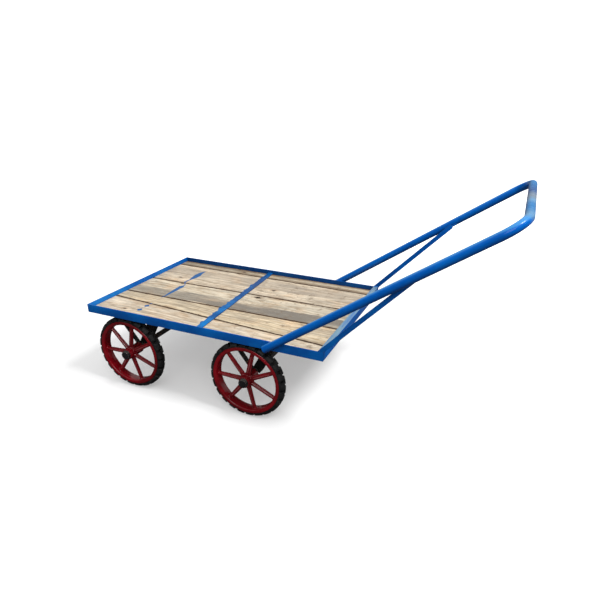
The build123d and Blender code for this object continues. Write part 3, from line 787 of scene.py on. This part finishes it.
# On the frame: the front corners, the channel's top and web, and the strip's ends
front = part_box("front_rail")[0].x
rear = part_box("rear_channel")[1].x
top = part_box("left_side_rail")[1].z
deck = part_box("middle_board")[1].z
strip_low, strip_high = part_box("hold_down_strip")
strip_half = 0.015
leg_inside, corner_inside, strip_end = 0.3958, 0.3948, 0.3952
corner_x = front + 0.0052
frame_seams = []
for side, strip_x in ((-1.0, strip_high.x - strip_half), (1.0, strip_low.x + strip_half)):
    inner, corner, tip = side * leg_inside, side * corner_inside, side * strip_end
    frame_seams += [
        ((corner_x, corner, deck - 0.002), (corner_x, corner, top - 0.001), 0.8),
        ((rear - 0.025, inner, top - 0.0008), (rear - 0.001, inner, top - 0.0008), 0.75),
        ((rear - 0.0006, inner, top - 0.037), (rear - 0.0006, inner, top - 0.002), 0.75),
        ((strip_x - 0.014, tip, strip_high.z), (strip_x + 0.014, tip, strip_high.z), 0.9),
    ]
weld_along("frame_weld_beads", frame_seams, blue_across, "frame_blue")

# On the handle: along the tube where it lies on the rails and the braces, and round the braces' feet
tube_foot = Vector((rear - 0.254, 0.0, top - 0.031))
tube_way = Vector((0.914, 0.0, 0.628)).normalized()
tube_up = Vector((-tube_way.z, 0.0, tube_way.x))
tube_runs = ((0.0105, 0.001, 0.036), (-0.0105, 0.004, 0.066), (-0.0105, 0.690, 0.735))
rail_outside, brace_outside = 0.4014, 0.3965
handle_seams = []
for side in (-1.0, 1.0):
    face = Vector((0.0, side * rail_outside, 0.0))
    for lift, first, last in tube_runs:
        line = tube_foot + tube_up * lift + face
        handle_seams.append((line + tube_way * first, line + tube_way * last, 0.95))
    end = tube_foot + face - tube_way * 0.0008
    handle_seams.append((end - tube_up * 0.010, end + tube_up * 0.010, 0.9))
    brace = "left_handle_brace" if side < 0 else "right_handle_brace"
    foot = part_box(brace)[0].z
    x_low, x_high, y_low, y_high = cut_end(brace, foot)
    edge = side * brace_outside
    handle_seams += [
        ((x_high, y_low, foot), (x_high, y_high, foot), 0.8),
        ((x_low, edge, foot), (x_high, edge, foot), 0.7),
    ]
weld_along("handle_weld_beads", handle_seams, blue_handle, "frame_blue")

# On the hangers: both sides of each upper end, and both sides of the axle
axle_seam = 0.0095
hanger_seams = []
for end in ("front", "rear"):
    bar_low, bar_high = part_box(f"{end}_axle")
    bar_x, bar_z = (bar_low.x + bar_high.x) / 2, (bar_low.z + bar_high.z) / 2
    for side in ("left", "right"):
        for bar in ("hanger_leg", "stay"):
            low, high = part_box(f"{end}_{side}_{bar}")
            x_low, x_high, y_low, y_high = cut_end(f"{end}_{side}_{bar}", high.z)
            level = high.z - 0.001
            for x in (x_low, x_high):
                hanger_seams.append(((x, y_low, level), (x, y_high, level), 0.9))
            level = bar_z + axle_seam
            for x in (bar_x - axle_seam, bar_x + axle_seam):
                hanger_seams.append(((x, low.y, level), (x, high.y, level), 0.9))
weld_along("hanger_weld_beads", hanger_seams, under_paint, "underframe_paint")
bpy.data.objects.remove(run_of_weld)

# Wheel castings: rim, seven ribbed spokes and hub in one piece of grey iron, dipped in deep red enamel.
# The sand mould left soft edges, and fillets where the spokes run into the rim and the hub.
rest_turn = {"front_left": 29.5, "front_right": 12.0, "rear_left": 25.5, "rear_right": 40.0}
hub_place = {joint["child"]: Vector(joint["pos_m"]) for joint in frame["record"]["behaviour"]["joints"]}


def wheel_seat(station):
    """Where a wheel sits: its middle on the axle, its face outward, its spokes turned as they stand."""
    turn = math.radians(rest_turn[station])
    outward = Vector((0.0, -1.0 if station.endswith("left") else 1.0, 0.0))
    ahead = Vector((math.cos(turn), 0.0, math.sin(turn)))
    seat = Matrix((ahead, outward.cross(ahead), outward)).transposed().to_4x4()
    seat.translation = hub_place[f"{station}_wheel"]
    return seat


def fit_to_wheels(pattern, made, finish, slot, part):
    """Give each wheel its own copy of a piece that was made for the left front wheel."""
    home = wheel_seat("front_left").inverted()
    for station in reversed(rest_turn):
        piece = pattern
        if station != "front_left":
            piece = bpy.data.objects.new(f"{station}_{part}_{made}", pattern.data.copy())
            bpy.context.scene.collection.objects.link(piece)
            piece.data.transform(wheel_seat(station) @ home)
        hand_over(piece, finish, slot, f"{station}_wheel", f"{station}_{part}")


red_values = {
    "Paint": (0.125, 0.0006, 0.0035, 1.0),
    "Faded": (0.26, 0.0016, 0.008, 1.0),
    "Bare": (0.03, 0.012, 0.012, 1.0),
    "Dust": (0.16, 0.06, 0.055, 1.0),
    "Chipping": 0.28,
    "Dustiness": 0.05,
    "Gloss": 0.15,
}
painted_highlight_red = (0.60, 0.20, 0.21, 1.0)
dip_depth = 0.0004
tree, shader, red_enamel = new_material("red_enamel", {"Specular IOR Level": 0.5})
paint = use_group(tree, old_paint, {**red_values, "Strokes": stretch(tree, (30.0, 30.0, 30.0))})
uneven = ease(tree, cloud(tree, stretch(tree), 22.0, 4.0, 0.6), 0.3, 0.6, 0.25, 0.85)
# Painted highlight: the marked crests are tinted pale red
lightened = calc(tree, "MULTIPLY", marked(tree, "crest"), uneven)
color = tint(tree, lightened, paint["Color"], painted_highlight_red)
surface(tree, shader, color, paint["Roughness"], paint["Height"], dip_depth)

# The rim's lips stand a little outside the tyre, and their edges are rounded before the cast skin is drawn
lip_proud, lip_round = 0.0025, 0.0045
rim_inside, on_face = 0.1, 0.0003
mould_grain = 0.0018
casting = take_solid("front_left_wheel_casting", "front_left_wheel_casting_cast")
hub = hub_place["front_left_wheel"]
tyre_low, tyre_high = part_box("front_left_tyre")
lip = (tyre_high.y - tyre_low.y) / 2 + lip_proud
bpy.ops.object.mode_set(mode="EDIT")
bpy.ops.mesh.select_all(action="DESELECT")
bpy.ops.object.mode_set(mode="OBJECT")
for edge in casting.data.edges:
    ends = [casting.data.vertices[v].co - hub for v in edge.vertices]
    on_lip = [abs(abs(end.y) - lip) < on_face for end in ends]
    on_rim = [math.hypot(end.x, end.z) > rim_inside for end in ends]
    edge.select = all(on_lip + on_rim)
bpy.ops.object.mode_set(mode="EDIT")
bpy.ops.mesh.bevel(offset=lip_round, segments=4, affect="EDGES")
bpy.ops.object.mode_set(mode="OBJECT")
skin = casting.modifiers.new("skin", "REMESH")
skin.mode = "VOXEL"
skin.voxel_size = mould_grain
bpy.ops.object.modifier_apply(modifier="skin")
soften = casting.modifiers.new("soften", "SMOOTH")
soften.factor = 0.5
soften.iterations = 3
bpy.ops.object.modifier_apply(modifier="soften")
bpy.ops.object.shade_smooth()

# Painted highlight on the flat outer faces: a pale line along the middle of the lips, and a fainter pale tint
# on the spokes
crest_depth, crest_half = 0.0006, 0.0032
square_on = 0.97
spoke_from, spoke_to, spoke_highlight = 0.04, 0.125, 0.3
crest = casting.data.attributes.new("crest", "FLOAT", "POINT")
reach = [math.hypot(v.co.x - hub.x, v.co.z - hub.z) for v in casting.data.vertices]
proud = [abs(v.co.y - hub.y) > lip - crest_depth for v in casting.data.vertices]
lips = [far for far, out in zip(reach, proud) if out]
middle = (min(lips) + max(lips)) / 2
for vertex, far, out, mark in zip(casting.data.vertices, reach, proud, crest.data):
    if abs(vertex.normal.y) > square_on:
        if out:
            mark.value = max(0.0, 1.0 - abs(far - middle) / crest_half)
        elif spoke_from < far < spoke_to:
            mark.value = spoke_highlight
fit_to_wheels(casting, "cast", red_enamel, "wheel_red", "wheel_casting")

# Tyres: solid black rubber moulded with staggered lugs round both shoulders, and pressed over the rim lips.
# The rubber is matt, scuffed grey in patches and dusty.
fresh_black, scuffed_grey = (0.008, 0.008, 0.009, 1.0), (0.028, 0.027, 0.026, 1.0)
road_dust = (0.055, 0.048, 0.038, 1.0)
rubber_depth = 0.0004
lug_arris, lug_steps, lug_sharper_than = 0.0012, 2, 12
tree, shader, rubber = new_material("black_rubber", {"Specular IOR Level": 0.35})
here = stretch(tree)
scuff = ease(tree, cloud(tree, here, 45.0, 4.0, 0.6), 0.45, 0.75)
dusty = ease(tree, cloud(tree, here, 14.0, 3.0), 0.55, 0.8, 0.0, 0.4)
color = tint(tree, dusty, tint(tree, scuff, fresh_black, scuffed_grey), road_dust)
rough = calc(tree, "MULTIPLY_ADD", scuff, 0.2, 0.55)
surface(tree, shader, color, rough, cloud(tree, here, 400.0, 3.0), rubber_depth)
tyre = take_solid("front_left_tyre", "front_left_tyre_moulded")
round_arrises(tyre, lug_arris, lug_steps, lug_sharper_than)
fit_to_wheels(tyre, "moulded", rubber, "tyre_rubber", "tyre")

# Grease caps: turned steel cups with a domed end, painted black. Each is pushed into a hub's outer bore and
# keeps dirt off the axle nut.
cap_values = {
    "Paint": (0.006, 0.006, 0.007, 1.0),
    "Faded": (0.018, 0.018, 0.020, 1.0),
    "Bare": (0.09, 0.085, 0.08, 1.0),
    "Chipping": 0.3,
    "Dustiness": 0.3,
    "Gloss": 0.2,
}
cap_arris = 0.0012
black_cap = painted("black_enamel", (50.0, 50.0, 50.0), cap_values, dip_depth)
cap = take_solid("front_left_grease_cap", "front_left_grease_cap_turned")
round_arrises(cap, cap_arris)
fit_to_wheels(cap, "turned", black_cap, "cap_black", "grease_cap")

# Bearings and end fasteners: ball bearings with a sleeve between them, washers, nuts and split pins. They are
# bright steel, inside the hubs and under the caps, and keep the shape of their solids.
steel_values = {
    "Paint": (0.42, 0.42, 0.43, 1.0),
    "Faded": (0.60, 0.60, 0.61, 1.0),
    "Bare": (0.22, 0.12, 0.07, 1.0),
    "Chipping": 0.2,
    "Dustiness": 0.3,
    "Gloss": 0.3,
}
turned_depth = 0.0002
fasteners = ("axle_washers", "axle_nuts", "split_pins", "bearing_sleeves")
bright_steel = painted("bright_steel", (30.0, 200.0, 30.0), steel_values, turned_depth, {"Metallic": 1.0})
for name, part in frame["nodes"].items():
    if name.endswith("bearing") or name in fasteners:
        for holder in part.material_slots:
            holder.material = bright_steel

# Studio: a plain pale floor and a white surround, lit by one large soft lamp overhead and a weaker one in
# front. The room round the cart is dim, so upright faces stay dark while the deck is bright.
floor_size = 60.0
white = (1.0, 1.0, 1.0, 1.0)
floor_pale, floor_paler = (0.63, 0.63, 0.63, 1.0), (0.65, 0.65, 0.65, 1.0)
room_dim, room_mirrored = (0.22, 0.22, 0.22, 1.0), (0.06, 0.06, 0.06, 1.0)
glow_from, glow_to, glow_near = 1.2, 3.2, 0.296
bpy.ops.object.select_all(action="DESELECT")
bpy.ops.mesh.primitive_plane_add(size=floor_size, location=(0.0, 0.0, 0.0))
floor = bpy.context.object
floor.name = "studio_floor"
tree, shader, paper = new_material("pale_floor", {"Roughness": 0.9, "Specular IOR Level": 0.0})
shader.inputs["Emission Color"].default_value = white
here = stretch(tree, (1.0, 1.0, 0.0))
light = put(tree, "LightPath").node.outputs
seen, shiny = light["Is Camera Ray"], light["Is Glossy Ray"]
pale = tint(tree, cloud(tree, here, 0.8, 2.0), floor_pale, floor_paler)
room = tint(tree, shiny, room_dim, room_mirrored)
tree.links.new(tint(tree, seen, room, pale), shader.inputs["Base Color"])
glow = calc(tree, "MULTIPLY", ease(tree, how_far(tree, here), glow_from, glow_to, glow_near, 1.0), seen)
behind = ease(tree, axis(tree, here, "Y"), 0.6, 2.5, 0.0, 0.3)
glow = calc(tree, "MULTIPLY_ADD", behind, shiny, glow)
tree.links.new(glow, shader.inputs["Emission Strength"])
floor.data.materials.append(paper)
floor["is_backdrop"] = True

backdrop = (1.1, 1.1, 1.1, 1.0)
world = bpy.data.worlds.new("studio_surround")
bpy.context.scene.world = world
world.use_nodes = True
tree = world.node_tree
way = put(tree, "SeparateXYZ", {0: put(tree, "TexCoord").node.outputs["Generated"]}).node.outputs
window = ease(tree, way["Y"], 0.3, 0.9, 0.0, 0.6)
room = calc(tree, "ADD", ease(tree, way["Z"], 0.1, 0.9, 0.34, 0.85), window)
mirrored = calc(tree, "ADD", ease(tree, way["Z"], 0.2, 0.9, 0.05, 0.7), window)
light = put(tree, "LightPath").node.outputs
room = tint(tree, light["Is Glossy Ray"], room, mirrored)
room = tint(tree, light["Is Camera Ray"], room, backdrop)
tree.links.new(room, tree.nodes["Background"].inputs["Color"])


def soft_lamp(name, place, back, size, power):
    """A rectangular studio lamp at a place, with its back towards a direction."""
    bpy.ops.object.light_add(type="AREA", location=place)
    lamp = bpy.context.object
    lamp.name = name
    lamp.data.shape = "RECTANGLE"
    lamp.data.size, lamp.data.size_y = size
    lamp.data.energy = power
    lamp.rotation_euler = Vector(back).to_track_quat("Z", "Y").to_euler()


soft_lamp("overhead_lamp", (4.05, -0.35, 7.0), (4.4, -0.35, 6.6), (2.1, 2.1), 505.0)
soft_lamp("front_lamp", (1.4, -3.6, 3.8), (1.4, -3.6, 3.5), (3.0, 2.0), 75.0)
bpy.context.scene.view_settings.view_transform = "Standard"

# Camera at the photograph's place, with its slight shift of frame. Its place, tilt and lens come from
# fitting the deck's corners, the handle and the wheel rims.
bpy.ops.object.camera_add(
    location=(0.89339854, -2.07541981, 1.37565672),
    rotation=[math.radians(a) for a in (65.4740013, -1.0771495, 21.85103921)],
)
camera = bpy.context.object
camera.data.sensor_width = 36.0
camera.data.lens = 30.7772
camera.data.shift_x = -0.030646
camera.data.shift_y = 0.030554
bpy.context.scene.camera = camera

low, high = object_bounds()
